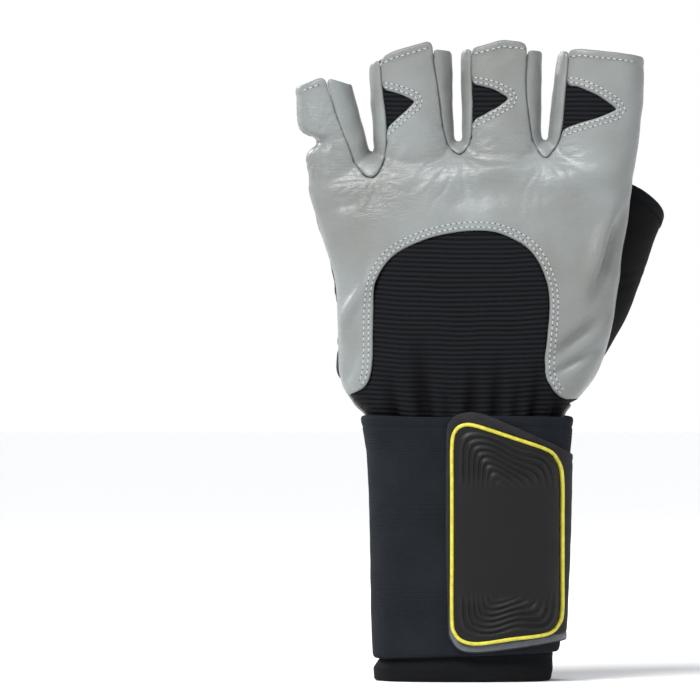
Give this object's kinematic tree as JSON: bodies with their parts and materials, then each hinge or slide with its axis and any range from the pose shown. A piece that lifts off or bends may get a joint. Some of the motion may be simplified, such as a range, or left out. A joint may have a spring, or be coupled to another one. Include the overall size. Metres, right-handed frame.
{
  "type": "weightlifting glove",
  "caption": "Fingerless leather weightlifting glove for the left hand with a ribbed stretch back, padded suede palm, open thumb and a long elastic wrist wrap closed by a moulded strap tab.",
  "frame": {"origin": "centre of the cuff's open mouth, on the plane of its lower rim", "axes": "+Z from the cuff to the fingertips; the back of the hand faces -Y, the palm +Y and the thumb is on the +X side"},
  "size_m": [0.1336, 0.0737, 0.2304],
  "materials": {
    "leather": "soft light grey grained leather with a satin sheen",
    "pale_leather": "pale smooth leather",
    "suede": "matt black suede",
    "padded_suede": "matt black suede over foam, quilted",
    "rib_knit": "black knitted stretch fabric with fine cross ribs",
    "spandex": "matt black stretch fabric",
    "elastic": "charcoal woven elastic webbing",
    "tab_rim": "dark grey satin edge of the strap tab",
    "moulded_rubber": "black moulded rubber with wavy ridges",
    "yellow_rubber": "raised yellow line"
  },
  "bodies": {
    "root": {"back_shell": "leather", "stretch_panel": "rib_knit", "knuckle_insert_ring": "rib_knit", "knuckle_insert_middle": "rib_knit", "knuckle_insert_index": "rib_knit", "fourchette_pinky_ring": "leather", "fourchette_ring_middle": "leather", "fourchette_middle_index": "leather", "crotch_patch_pinky_ring": "pale_leather", "crotch_patch_ring_middle": "pale_leather", "crotch_patch_middle_index": "pale_leather", "palm_suede": "suede", "palm_pad": "padded_suede", "wrist_band": "leather", "thumb_strip": "leather", "thumb_spandex": "spandex", "thumb_hem": "suede", "pull_tab_ring": "suede", "pull_tab_middle": "suede", "cuff_wrap": "elastic", "cuff_sleeve": "elastic", "strap_tab": "tab_rim", "strap_badge": "moulded_rubber", "badge_trim": "yellow_rubber"}
  },
  "joints": []
}
